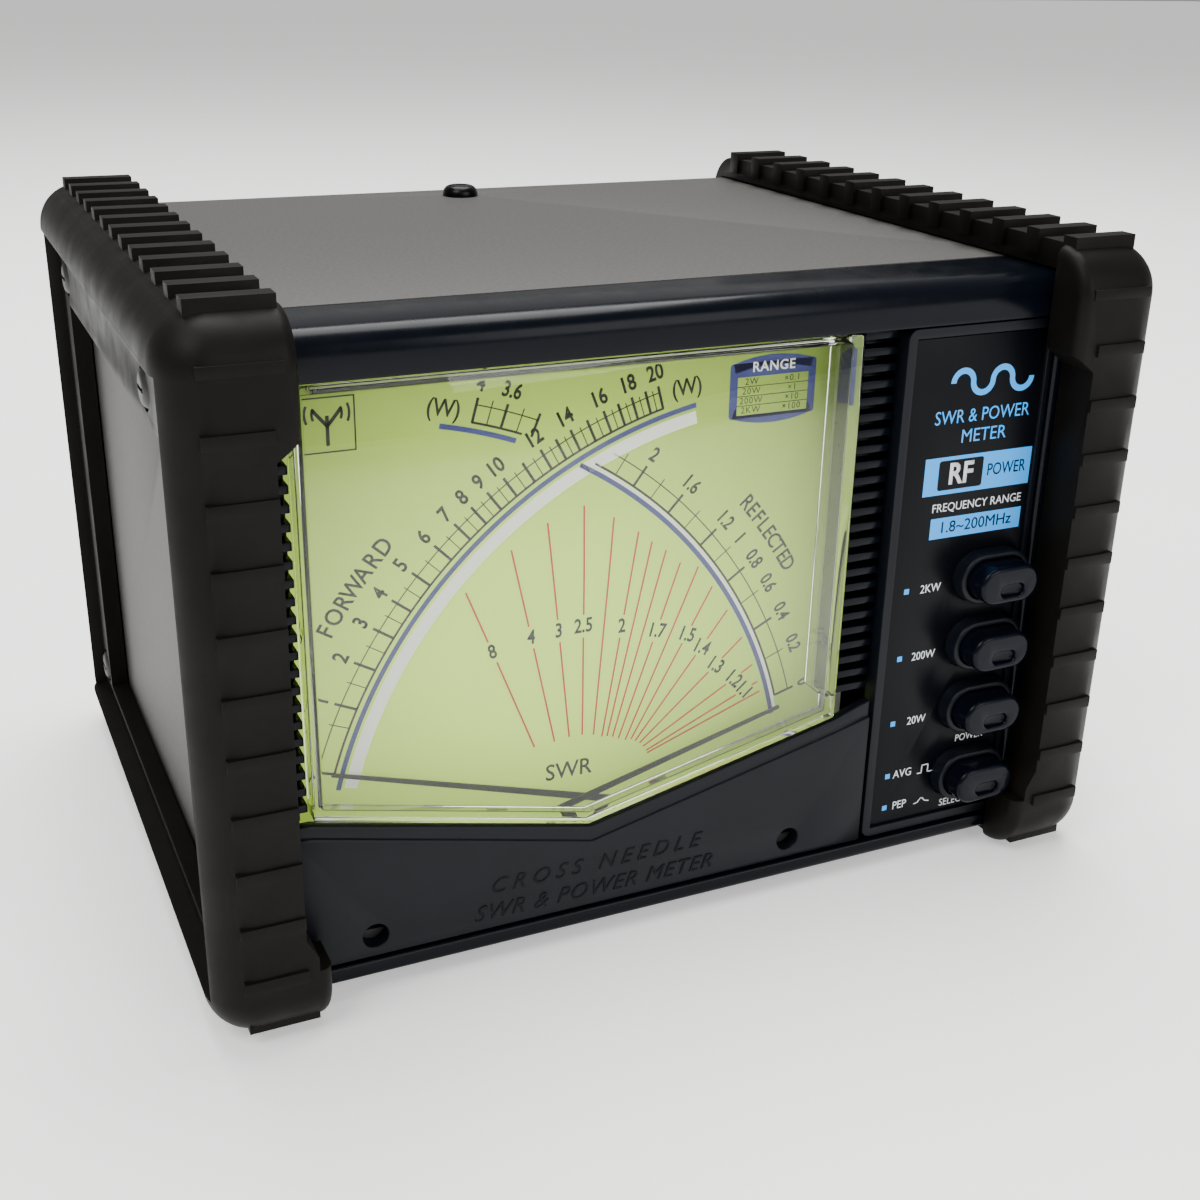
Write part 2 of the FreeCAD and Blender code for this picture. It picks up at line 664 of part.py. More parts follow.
# Behind the lip only the right wall and one corner post go on back to the tray.
cornerPost = 3.4
for region in (box2(winLeft - 1.0, winPoint - 2.0, winRight + 1.0, winSide + 3.0),
               box2(winLeft - 1.0, winSide + 2.0, winLeft + 3.0, winTop - cornerPost),
               box2(winLeft + cornerPost, winTop - 3.0, winRight - cornerPost, winTop + 1.0)):
    cut(clear, "y", coverFront + lipDeep, dialFront, ("ring", region))
keep("clear_cover", clear)

meterTray = body("meter_tray")
add(meterTray, "y", dialFront - 2.2, dialFront + 2.2,
    ("ring", box2(meterStart, caseLow + 2.6, meterEnd, 90.5)))
cut(meterTray, "y", dialFront - 3.0, dialFront + dialThick + 0.2,
    ("ring", box2(meterStart + 1.2, caseLow + 3.4, meterEnd - 1.2, 89.3)))
cut(meterTray, "y", dialFront - 3.0, dialFront + 4.0, ("ring", box2(Dim(-52.0, "-52.0"), 33.0, 22.0, 84.0)))
for x in (pivotLeft, pivotRight):
    cut(meterTray, "y", dialFront - 3.0, dialFront + 4.0, ("disc", x, pivotHigh, 2.4))
keep("meter_tray", meterTray)

dial = body("dial_plate")
add(dial, "y", dialFront, dialFront + dialThick,
    ("ring", box2(meterStart + 1.5, caseLow + 3.7, meterEnd - 1.5, 89.0)))
for x in (pivotLeft, pivotRight):
    cut(dial, "y", dialFront - 1.0, dialFront + 2.0, ("disc", x, pivotHigh, 1.6))
keep("dial_plate", dial)

lightBox = body("light_box")
add(lightBox, "y", dialFront + 2.4, dialFront + 9.6, ("ring", box2(Dim(-54.0, "-54.0"), 31.0, 24.0, 86.0)))
cut(lightBox, "y", dialFront + 2.0, dialFront + 8.4, ("ring", box2(Dim(-52.6, "-52.6"), 32.4, 22.6, 84.6)))
keep("light_box", lightBox)
ledBoard = body("led_board")
add(ledBoard, "y", dialFront + 7.0, dialFront + 8.2, ("ring", box2(Dim(-48.0, "-48.0"), 52.0, 18.0, 64.0)))
keep("led_board", ledBoard)
lamps = []
for i, x in enumerate((-40.0, -15.0, 10.0)):
    lamps.append(block("led" + str(i), x - 1.8, dialFront + 5.2, 56.2, 3.6, 1.8, 3.6))
group("dial_lamps", lamps)


def blade(owner, px, angle, low, high, tip, tail):
    """A flat tapered pointer from the pivot towards an angle."""
    c, s = math.cos(math.radians(angle)), math.sin(math.radians(angle))

    def at(along, side):
        return (px + (along * c - side * s), pivotHigh + (along * s + side * c))

    add(owner, "y", low, high, ("ring", [at(-tail, -0.9), at(2.0, -0.75), at(tip, -0.28), at(tip, 0.28),
                                         at(2.0, 0.75), at(-tail, 0.9)]))


yokeLow = dialFront + 3.0
for name, px, angle, front in (("forward", pivotRight, 163.0, -1.1), ("reflected", pivotLeft, 15.0, -2.1)):
    needle = body(name + "_needle")
    add(needle, "y", dialFront - 2.6, dialFront + 3.6, ("disc", px, pivotHigh, shaftRad))
    add(needle, "y", dialFront + front - 0.25, dialFront + front + 0.55, ("disc", px, pivotHigh, 1.4))
    blade(needle, px, angle, dialFront + front, dialFront + front + 0.3, num(needleLong), 3.0)
    keep(name + "_needle", needle)
    yoke = body(name + "_magnet_yoke")
    add(yoke, "y", yokeLow, yokeLow + 9.0, ("disc", px, pivotHigh, 5.1), ("disc", px, pivotHigh, 4.3))
    add(yoke, "y", yokeLow + 7.6, yokeLow + 9.0, ("disc", px, pivotHigh, 4.6), ("disc", px, pivotHigh, 2.4))
    keep(name + "_magnet_yoke", yoke)
    coil = body(name + "_moving_coil")
    add(coil, "y", dialFront + 3.7, dialFront + 9.4,
        ("ring", box2(px - 3.7, pivotHigh - 1.0, px + 3.7, pivotHigh + 1.0)))
    cut(coil, "z", pivotHigh - 2.0, pivotHigh + 2.0,
        ("ring", box2(px - 3.1, dialFront + 4.3, px + 3.1, dialFront + 8.8)))
    add(coil, "y", dialFront + 9.2, dialFront + 12.6, ("disc", px, pivotHigh, shaftRad))
    keep(name + "_moving_coil", coil)
    core = body(name + "_magnet_core")
    add(core, "y", dialFront + 4.6, dialFront + 8.5, ("disc", px, pivotHigh, 2.7))
    keep(name + "_magnet_core", core)
    bridge = body(name + "_bearing_bridge")
    add(bridge, "y", yokeLow + 9.1, yokeLow + 11.0,
        ("ring", box2(px - 5.0, pivotHigh - 4.6, px + 5.0, pivotHigh + 6.0)),
        ("disc", px, pivotHigh, shaftRad + runFit))
    keep(name + "_bearing_bridge", bridge)
for name, x in (("forward", zeroRight), ("reflected", zeroLeft)):
    screw = body(name + "_zero_screw")
    add(screw, "y", fasciaFront + 2.4, fasciaFront + 6.6, ("disc", x, zeroHigh, 1.9 - runFit))
    cut(screw, "y", fasciaFront + 1.0, fasciaFront + 3.3,
        ("ring", box2(x - 2.2, zeroHigh - 0.35, x + 2.2, zeroHigh + 0.35)))
    add(screw, "y", fasciaFront + 6.4, fasciaFront + 7.2, ("disc", x, zeroHigh + 0.8, 0.35))
    keep(name + "_zero_screw", screw)

# ---- electronics --------------------------------------------------------
main = body("main_board")
add(main, "z", Dim(10.0, "10"), Dim(11.6, "11.6"), ("ring", box2(Dim(-50.0, "-50"), -28.0, 50.0, 20.0)),
    *[("disc", x, y, 1.6) for x, y in boardPosts])
keep("main_board", main)
posts = []
for i, (x, y) in enumerate(boardPosts):
    posts.append(tube("post" + str(i), "z", x, y, caseLow + sheetThick, 2.4, 10.0 - (caseLow + sheetThick)))
group("board_standoffs", posts)
screws("board_screws", [(x, y, 11.6, 1.6) for x, y in boardPosts], "z", 1, 1.3, 2.6, 1.5, True)
parts = [block("chip" + str(i), x, y, 11.6, 9.6, 6.4, 3.4) for i, (x, y) in
         enumerate(((-30.0, -16.0), (-8.0, -16.0), (16.0, -16.0)))]
parts += [tube("cap" + str(i), "z", x, y, 11.6, 3.1, 8.0) for i, (x, y) in
          enumerate(((-30.0, 4.0), (-20.0, 4.0), (26.0, 4.0), (34.0, -6.0)))]
group("board_parts", parts)
trims = []
for i in range(6):
    trims.append(block("trim" + str(i), -12.0 + i * 5.6, 2.0, 11.6, 4.4, 4.4, 3.0))
group("range_trimmers", trims)

coupler = body("coupler_box")
add(coupler, "y", Dim(20.0, "20"), caseRear - 1.7, ("ring", box2(-socketHalf - 16.0, socketHigh - 14.0,
                                                                socketHalf + 16.0, socketHigh + 14.0)))
cut(coupler, "y", Dim(21.6, "21.6"), caseRear, ("ring", box2(-socketHalf - 14.4, socketHigh - 12.4,
                                                             socketHalf + 14.4, socketHigh + 12.4)))
keep("coupler_box", coupler)
line = tube("coupler_line", "x", -socketHalf - 1.0, 33.0, socketHigh, 1.6, socketHalf * 2 + 2.0)
doc.recompute()
keep("coupler_line", line)
sense = body("sensing_board")
add(sense, "z", socketHigh - 8.6, socketHigh - 7.4, ("ring", box2(Dim(-26.0, "-26"), 24.0, 26.0, 40.0)))
keep("sensing_board", sense)

hearts = []
contacts = []
for name, sign in (("antenna", -1), ("transmitter", 1)):
    x = socketHalf * sign
    shell = body(name + "_socket")
    add(shell, "y", caseRear - 0.4, caseRear + 1.4,
        ("ring", box2(x - 12.7, socketHigh - 12.7, x + 12.7, socketHigh + 12.7)),
        ("disc", x, socketHigh, 4.0))
    add(shell, "y", caseRear + 1.2, socketEnd, ("disc", x, socketHigh, socketThread),
        ("disc", x, socketHigh, 6.5))
    for dx in (-9.1, 9.1):
        for dz in (-9.1, 9.1):
            cut(shell, "y", caseRear - 1.0, caseRear + 3.0, ("disc", x + dx, socketHigh + dz, 1.6))
    keep(name + "_socket", shell)
    heart = body(name + "_insulator")
    add(heart, "y", caseRear + 1.5, socketEnd - 3.0, ("disc", x, socketHigh, 6.4),
        ("disc", x, socketHigh, 2.7))
    hearts.append(heart)
    contact = body(name + "_contact")
    add(contact, "y", Dim(34.8, "34.8"), socketEnd - 3.2, ("disc", x, socketHigh, 2.6))
    cut(contact, "y", socketEnd - 12.2, socketEnd, ("disc", x, socketHigh, 2.0))
    contacts.append(contact)
group("socket_insulators", hearts)
group("socket_contacts", contacts)
flange = []
for x in (-20.0, 20.0):
    for dx in (-9.1, 9.1):
        for dz in (-9.1, 9.1):
            flange.append((x + dx, 49.4, 52.0 + dz, 3.4))
screws("socket_screws", flange, "y", 1, 1.5, 2.7, 1.6, True)

jack = body("lamp_socket")
add(jack, "y", caseRear - 12.0, caseRear + 1.6, ("disc", jackX, jackHigh, 4.0),
    ("disc", jackX, jackHigh, 2.85))
add(jack, "y", caseRear - 14.0, caseRear - 12.0, ("disc", jackX, jackHigh, 4.0))
add(jack, "y", caseRear - 12.2, caseRear + 0.6, ("disc", jackX, jackHigh, 1.0))
keep("lamp_socket", jack)
nut = body("lamp_socket_nut")
add(nut, "y", caseRear - 0.35, caseRear + 1.2, ("disc", jackX, jackHigh, 6.0),
    ("disc", jackX, jackHigh, 4.05))
keep("lamp_socket_nut", nut)


def wire(name, points, radius):
    """A round lead along a smooth line through the points."""
    curve = Part.BSplineCurve()
    curve.interpolate([V(*p) for p in points])
    spine = doc.addObject("Part::Feature", name + "_line")
    spine.Shape = curve.toShape()
    start, ahead = V(*points[0]), curve.tangent(0)[0]
    section = doc.addObject("Part::Circle", name + "_round")
    section.Radius = radius
    section.Placement = FreeCAD.Placement(start, FreeCAD.Rotation(V(0, 0, 1), ahead))
    made = doc.addObject("Part::Sweep", name)
    made.Sections = [section]
    made.Spine = (spine, ["Edge1"])
    made.Solid = True
    made.Frenet = False
    doc.recompute()
    return made


leads = [wire("lead_forward", [(20.0, -33.0, 17.4), (24.0, -27.0, 22.0), (26.0, -18.0, 20.0),
                               (30.0, -12.0, 12.4)], 0.6),
         wire("lead_reflected", [(-46.0, -33.0, 17.4), (-42.0, -27.0, 22.0), (-38.0, -18.0, 20.0),
                                 (-36.0, -12.0, 12.4)], 0.6)]
group("meter_leads", leads)
leads = [wire("lead_sense_a", [(-12.0, 30.0, 36.9), (-12.0, 22.6, 34.0), (-12.0, 16.0, 24.0),
                               (-12.0, 14.0, 12.6)], 0.8),
         wire("lead_sense_b", [(12.0, 30.0, 36.9), (12.0, 22.6, 34.0), (12.0, 16.0, 24.0),
                               (12.0, 14.0, 12.6)], 0.8),
         wire("lead_lamp", [(-44.0, 33.0, 20.0), (-46.0, 26.0, 26.0), (-40.0, 0.0, 44.0),
                            (-34.0, -22.0, 56.0), (-30.0, -34.8, 58.0)], 0.9)]
group("inner_leads", leads)

# ---- checks and export --------------------------------------------------
doc.recompute()
bad = [o.Name for o in doc.Objects if "Invalid" in o.State or "Error" in o.State]
print("bad objects", bad)
for name, thing in nodes.items():
    shape = thing.Shape
    if shape.isNull() or not shape.isValid() or not shape.Solids:
        print("BAD SHAPE", name, shape.isNull())
        continue
    shape.exportStep("parts/" + name + ".step")
    box = shape.BoundBox
    print(name, len(shape.Solids), "solids", [round(v, 2) for v in (box.XMin, box.XMax, box.YMin, box.YMax,
                                                                     box.ZMin, box.ZMax)])
print(len(nodes), "nodes")
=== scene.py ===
import json
import math

import bpy
from mathutils import Matrix, Vector

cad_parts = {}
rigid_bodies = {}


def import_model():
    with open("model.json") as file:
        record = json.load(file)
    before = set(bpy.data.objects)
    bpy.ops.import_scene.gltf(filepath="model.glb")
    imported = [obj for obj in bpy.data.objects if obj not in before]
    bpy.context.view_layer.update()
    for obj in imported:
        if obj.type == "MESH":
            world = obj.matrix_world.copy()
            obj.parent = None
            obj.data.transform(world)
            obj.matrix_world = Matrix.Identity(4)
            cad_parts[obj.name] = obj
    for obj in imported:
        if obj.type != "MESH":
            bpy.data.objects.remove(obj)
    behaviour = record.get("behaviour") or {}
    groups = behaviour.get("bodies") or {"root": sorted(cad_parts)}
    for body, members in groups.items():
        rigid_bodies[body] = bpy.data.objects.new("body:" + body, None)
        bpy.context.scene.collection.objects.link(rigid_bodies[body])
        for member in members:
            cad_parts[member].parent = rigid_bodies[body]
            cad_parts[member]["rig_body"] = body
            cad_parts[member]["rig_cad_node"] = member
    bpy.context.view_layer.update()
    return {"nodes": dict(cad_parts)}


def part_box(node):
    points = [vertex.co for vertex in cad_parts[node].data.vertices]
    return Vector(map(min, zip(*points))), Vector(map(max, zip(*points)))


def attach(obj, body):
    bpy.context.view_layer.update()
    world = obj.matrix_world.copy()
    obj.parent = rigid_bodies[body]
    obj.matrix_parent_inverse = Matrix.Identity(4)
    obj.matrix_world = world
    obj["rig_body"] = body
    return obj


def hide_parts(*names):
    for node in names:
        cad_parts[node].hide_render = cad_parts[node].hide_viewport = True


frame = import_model()
nodes = frame["nodes"]
mm = 0.001
print("frame loaded,", len(nodes), "nodes")


# ---- small tools used by every piece

def linear(hexText):
    # sRGB hex to the linear colour that shaders want
    parts = [int(hexText[i:i + 2], 16) / 255 for i in (1, 3, 5)]
    return [c / 12.92 if c <= 0.04045 else ((c + 0.055) / 1.055) ** 2.4 for c in parts] + [1.0]


def addNode(tree, kind, values, links):
    # one node with its settings: ".name" is a property, anything else an input
    node = tree.nodes.new(kind)
    for key, value in values.items():
        if isinstance(key, str) and key.startswith("."):
            setattr(node, key[1:], value)
        else:
            node.inputs[key].default_value = value
    for key, output in links.items():
        tree.links.new(output, node.inputs[key])
    return node


def deselect():
    if bpy.context.mode != "OBJECT":
        bpy.ops.object.mode_set(mode="OBJECT")
    for thing in bpy.context.selected_objects:
        thing.select_set(False)


def pick(thing):
    deselect()
    thing.select_set(True)
    bpy.context.view_layer.objects.active = thing


def freeze(thing):
    # place and size go into the mesh, the object itself stays at the origin
    pick(thing)
    bpy.ops.object.transform_apply(location=True, rotation=True, scale=True)


def useModifier(thing, kind, **settings):
    pick(thing)
    modifier = thing.modifiers.new(kind.lower(), kind)
    for key, value in settings.items():
        setattr(modifier, key, value)
    bpy.ops.object.modifier_apply(modifier=modifier.name)


def dress(thing, finish):
    thing.data.materials.clear()
    thing.data.materials.append(finish)


# ---- finishes

def startFinish(name, colour, roughness, metallic=0.0):
    finish = bpy.data.materials.new(name)
    finish.use_nodes = True
    tree = finish.node_tree
    shader = tree.nodes["Principled BSDF"]
    shader.inputs["Base Color"].default_value = linear(colour)
    shader.inputs["Roughness"].default_value = roughness
    shader.inputs["Metallic"].default_value = metallic
    return finish, tree, shader


def addGrain(tree, shader, grainMm, strength, depthMm, detail=3.0):
    # fine relief from a noise whose lumps are grainMm across
    place = addNode(tree, "ShaderNodeTexCoord", {}, {})
    noise = addNode(tree, "ShaderNodeTexNoise", {"Scale": 1 / (grainMm * mm), "Detail": detail},
                    {"Vector": place.outputs["Object"]})
    bump = addNode(tree, "ShaderNodeBump", {"Strength": strength, "Distance": depthMm * mm},
                   {"Height": noise.outputs["Fac"]})
    tree.links.new(bump.outputs["Normal"], shader.inputs["Normal"])


def addMottle(tree, shader, sizeMm, dark, light, socket="Base Color"):
    # slow change of tone over the surface, as dust and handling leave
    place = addNode(tree, "ShaderNodeTexCoord", {}, {})
    noise = addNode(tree, "ShaderNodeTexNoise", {"Scale": 1 / (sizeMm * mm), "Detail": 5.0, "Roughness": 0.6},
                    {"Vector": place.outputs["Object"]})
    ramp = addNode(tree, "ShaderNodeValToRGB", {}, {"Fac": noise.outputs["Fac"]})
    ramp.color_ramp.elements[0].position = 0.3
    ramp.color_ramp.elements[1].position = 0.7
    if socket == "Base Color":
        ramp.color_ramp.elements[0].color = linear(dark)
        ramp.color_ramp.elements[1].color = linear(light)
    else:
        ramp.color_ramp.elements[0].color = (dark, dark, dark, 1)
        ramp.color_ramp.elements[1].color = (light, light, light, 1)
    tree.links.new(ramp.outputs["Color"], shader.inputs[socket])


def mouldedRubber():
    # hard moulded rubber, spark-eroded mould: warm near-black with a soft waxy sheen
    finish, tree, shader = startFinish("mouldedRubber", "#0e0c0a", 0.5)
    addMottle(tree, shader, 14, "#0b0908", "#110f0c")
    addMottle(tree, shader, 6, 0.42, 0.56, "Roughness")
    addGrain(tree, shader, 0.45, 0.22, 0.05)
    shader.inputs["Specular IOR Level"].default_value = 0.08
    return finish


def grainedEnamel():
    # baked enamel with a fine leather grain on steel sheet: flat grey that sparkles a little at a low angle
    finish, tree, shader = startFinish("grainedEnamel", "#393734", 0.55)
    addMottle(tree, shader, 0.6, "#32302e", "#413f3c")
    addGrain(tree, shader, 0.5, 0.5, 0.09, 4.0)
    shader.inputs["Specular IOR Level"].default_value = 0.3
    return finish


def glossNavy():
    # injection-moulded ABS, nearly black blue, polished mould: long clear highlights on the round edges
    finish, tree, shader = startFinish("glossNavyAbs", "#03060d", 0.24)
    addMottle(tree, shader, 5, 0.2, 0.29, "Roughness")
    addGrain(tree, shader, 1.2, 0.05, 0.03)
    shader.inputs["Specular IOR Level"].default_value = 0.11
    return finish


def satinNavy():
    # the same ABS from a lightly blasted mould: the fascia spreads the light into a grey-blue haze
    finish, tree, shader = startFinish("satinNavyAbs", "#080c12", 0.42)
    addMottle(tree, shader, 9, "#070a10", "#0a0e15")
    addGrain(tree, shader, 0.4, 0.12, 0.03)
    shader.inputs["Specular IOR Level"].default_value = 0.17
    return finish


def labelSheet():
    # screen-printed polycarbonate label: smooth, almost black, with a faint orange peel
    finish, tree, shader = startFinish("labelPolycarbonate", "#04050a", 0.36)
    addGrain(tree, shader, 0.8, 0.06, 0.02)
    addMottle(tree, shader, 12, 0.32, 0.4, "Roughness")
    shader.inputs["Specular IOR Level"].default_value = 0.1
    return finish


def capNavy():
    # polished ABS button caps: small sharp highlights
    finish, tree, shader = startFinish("buttonAbs", "#060912", 0.2)
    addMottle(tree, shader, 2, 0.14, 0.22, "Roughness")
    addGrain(tree, shader, 0.9, 0.03, 0.02)
    shader.inputs["Specular IOR Level"].default_value = 0.1
    return finish


def clearAcrylic():
    # acrylic with an anti-glare coat: clear, hardly a mirror image, bright where a wall is seen edge on
    finish, tree, shader = startFinish("clearAcrylic", "#fbfff4", 0.02)
    shader.inputs["Specular IOR Level"].default_value = 0.25
    shader.inputs["Transmission Weight"].default_value = 1.0
    shader.inputs["IOR"].default_value = 1.38
    addMottle(tree, shader, 20, 0.0, 0.015, "Roughness")
    return finish


def dialCard():
    # matt printed card, yellow-green; its glow is painted backlight, as no lamp lights it: an emission
    # brightest in the middle and darkening to painted shade at the rim
    finish, tree, shader = startFinish("dialCard", "#8aa044", 0.6)
    paintedGlow = {"left": 5 * mm, "down": 2 * mm, "reachX": 62 * mm, "reachZ": 52 * mm}
    low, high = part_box("dial_plate")
    glowX = (low.x + high.x) / 2 - paintedGlow["left"]
    glowZ = (low.z + high.z) / 2 - paintedGlow["down"]
    place = addNode(tree, "ShaderNodeTexCoord", {}, {})
    shift = addNode(tree, "ShaderNodeMapping",
                    {"Location": (-glowX / paintedGlow["reachX"], 0, -glowZ / paintedGlow["reachZ"]),
                     "Scale": (1 / paintedGlow["reachX"], 0.0, 1 / paintedGlow["reachZ"])},
                    {"Vector": place.outputs["Object"]})
    ball = addNode(tree, "ShaderNodeTexGradient", {".gradient_type": "SPHERICAL"},
                   {"Vector": shift.outputs["Vector"]})
    ramp = addNode(tree, "ShaderNodeValToRGB", {}, {"Fac": ball.outputs["Color"]})
    # painted shade at the rim (dark end) and painted backlight in the middle (bright end)
    ramp.color_ramp.elements[0].color = linear("#33430c")
    ramp.color_ramp.elements[1].color = linear("#cdf05e")
    ramp.color_ramp.elements[1].position = 0.75
    # the emission colour carries the painted backlight and the painted shade of the rim
    tree.links.new(ramp.outputs["Color"], shader.inputs["Emission Color"])
    shader.inputs["Emission Strength"].default_value = 1.15
    addMottle(tree, shader, 30, "#81973e", "#93a94c")
    addGrain(tree, shader, 0.3, 0.05, 0.01)
    return finish


def ink(name, colour, paintedGlow=0.0):
    # opaque screen ink: matt, with an uneven edge of sheen
    finish, tree, shader = startFinish(name, colour, 0.55)
    addMottle(tree, shader, 3, 0.45, 0.62, "Roughness")
    # painted light: the glow is an emission that brightens the ink beyond what the lamps give it
    if paintedGlow:
        shader.inputs["Emission Color"].default_value = linear(colour)
        shader.inputs["Emission Strength"].default_value = paintedGlow
    return finish


def metal(name, colour, roughness, grainMm=0.3, strength=0.1):
    # bare or plated metal: tinted reflections broken by fine tool marks
    finish, tree, shader = startFinish(name, colour, roughness, 1.0)
    addGrain(tree, shader, grainMm, strength, 0.02)
    addMottle(tree, shader, 2, max(0.05, roughness - 0.08), roughness + 0.08, "Roughness")
    return finish


def plain(name, dark, light, roughness, grainMm=0.5):
    # plastic and board that is seldom seen: two close tones and a light grain
    finish, tree, shader = startFinish(name, dark, roughness)
    addMottle(tree, shader, 4, dark, light)
    addGrain(tree, shader, grainMm, 0.1, 0.03)
    return finish


finishes = {
    "rubber": mouldedRubber(),
    "enamel": grainedEnamel(),
    "gloss": glossNavy(),
    "satin": satinNavy(),
    "label": labelSheet(),
    "cap": capNavy(),
    "clear": clearAcrylic(),
    "dial": dialCard(),
    "inkBlack": ink("dialInkBlack", "#010101"),
    # the glow numbers on these inks are painted light
    "inkBlue": ink("dialInkBlue", "#353c8e", 0.08),
    "inkWhite": ink("dialInkWhite", "#e8e6e6", 0.5),
    "inkRed": ink("dialInkRed", "#c4310c", 0.3),
    "inkSky": ink("labelInkSky", "#1f9aef", 0.12),
    "inkPale": ink("labelInkPale", "#d5dade"),
    "screwBlack": metal("blackenedSteel", "#1b1b1b", 0.32),
    "steel": metal("zincPlatedSteel", "#a9aaa8", 0.32),
    "nickel": metal("nickelPlatedBrass", "#b9b8b0", 0.22),
    "brass": metal("turnedBrass", "#b08d4a", 0.3),
    "copper": metal("copperWire", "#a8643a", 0.4),
    "alloy": metal("castAlloy", "#8d8f90", 0.45, 0.8, 0.3),
    "board": plain("boardLaminate", "#0f3d22", "#16502d", 0.45),
    "white": plain("whiteNylon", "#d8d6cc", "#e4e2da", 0.5),
    "black": plain("blackPhenolic", "#141414", "#1c1c1c", 0.5),
    "needle": plain("needlePaint", "#101010", "#181818", 0.5),
    "lead": plain("leadSleeve", "#5a1512", "#6b1c18", 0.4),
    "lens": plain("lampResin", "#eceadb", "#f6f4e8", 0.25),
}
print("finishes made:", len(finishes))


# ---- CAD shapes with their edges eased, each standing for its node

# angles in degrees: faces flatter than "flat" merge, edges past "sharp" are rounded
easing = {"weldMm": 0.002, "flat": 0.7, "sharp": 32, "smooth": 34}


def eased(nodeName, finish, widthMm=0.25, segments=2, body="case"):
    source = nodes[nodeName]
    copy = source.copy()
    copy.data = source.data.copy()
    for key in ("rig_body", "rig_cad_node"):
        if key in copy:
            del copy[key]
    copy.parent = None
    copy.name = nodeName + "_eased"
    bpy.context.scene.collection.objects.link(copy)
    pick(copy)
    bpy.ops.object.mode_set(mode="EDIT")
    bpy.ops.mesh.select_all(action="SELECT")
    bpy.ops.mesh.remove_doubles(threshold=easing["weldMm"] * mm)
    bpy.ops.mesh.dissolve_limited(angle_limit=math.radians(easing["flat"]))
    bpy.ops.object.mode_set(mode="OBJECT")
    useModifier(copy, "BEVEL", width=widthMm * mm, segments=segments, limit_method="ANGLE",
                angle_limit=math.radians(easing["sharp"]), use_clamp_overlap=True)
    pick(copy)
    bpy.ops.object.shade_smooth_by_angle(angle=math.radians(easing["smooth"]))
    dress(copy, finish)
    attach(copy, body)
    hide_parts(nodeName)


easedParts = {
    "bumper_left": ("rubber", "bumper", 0.45),
    "bumper_right": ("rubber", "bumper", 0.45),
    "top_cover": ("enamel", "case_paint", 0.3),
    "rear_panel": ("enamel", "case_paint", 0.15),
    "base_tray": ("enamel", "case_paint", 0.15),
    "front_bezel": ("gloss", "frame_blue", 0.5),
    "meter_fascia": ("satin", "frame_blue", 0.25),
    "rib_strip_left": ("gloss", "frame_blue", 0.2),
    "rib_strip_right": ("gloss", "frame_blue", 0.2),
    "button_panel": ("satin", "frame_blue", 0.3),
    "label_plate": ("label", "label", 0.1),
    "antenna_socket": ("nickel", "nickel", 0.2),
    "transmitter_socket": ("nickel", "nickel", 0.2),
    "lamp_socket_nut": ("nickel", "nickel", 0.2),
}
for partName, (finishName, slotName, width) in easedParts.items():
    eased(partName, finishes[finishName], width)
buttonBodies = {"button_upper": "range_button_upper", "button_middle": "range_button_middle",
                "button_lower": "range_button_lower", "button_selector": "selector_button"}
for partName, bodyName in buttonBodies.items():
    eased(partName, finishes["cap"], 0.35, 3, bodyName)
eased("clear_cover", finishes["clear"], 0.3)
print("eased shapes done")

bareParts = {
    "screwBlack": ("top_screw", "rear_panel_screws"),
    "steel": ("panel_lugs", "board_standoffs", "switch_pillars", "board_screws", "switch_board_screws",
              "socket_screws", "forward_magnet_yoke", "reflected_magnet_yoke", "forward_magnet_core",
              "reflected_magnet_core"),
    "dial": ("dial_plate",),
    "white": ("light_box", "meter_tray", "socket_insulators", "range_trimmers"),
    "board": ("main_board", "switch_board", "led_board", "sensing_board"),
    "black": ("bumper_screws_left", "bumper_screws_right", "range_switch_bank", "selector_switch",
              "board_parts", "lamp_socket", "forward_zero_screw", "reflected_zero_screw"),
    "needle": ("forward_needle", "reflected_needle"),
    "copper": ("forward_moving_coil", "reflected_moving_coil"),
    "brass": ("forward_bearing_bridge", "reflected_bearing_bridge", "coupler_line", "socket_contacts"),
    "alloy": ("coupler_box",),
    "lens": ("dial_lamps",),
    "lead": ("inner_leads", "meter_leads"),
}
for finishName, names in bareParts.items():
    for partName in names:
        for slot in nodes[partName].material_slots:
            slot.material = finishes[finishName]
print("bare shapes done")


# ---- printing: every mark is a thin mesh just proud of its plate

def strip(x, z, y, long, wide, turn=0.0):
    # a straight mark, long side at the given turn from +X
    deselect()
    bpy.ops.mesh.primitive_plane_add(size=1, location=(x * mm, y, z * mm),
                                     rotation=(math.pi / 2, -math.radians(turn), 0))
    mark = bpy.context.object
    mark.scale = (long * mm, wide * mm, 1)
    return mark


def stroke(points, y, wide):
    # straight marks end to end
    marks = []
    for (x0, z0), (x1, z1) in zip(points, points[1:]):
        long = math.hypot(x1 - x0, z1 - z0)
        turn = math.degrees(math.atan2(z1 - z0, x1 - x0))
        marks.append(strip((x0 + x1) / 2, (z0 + z1) / 2, y, long + wide * 0.6, wide, turn))
    return marks


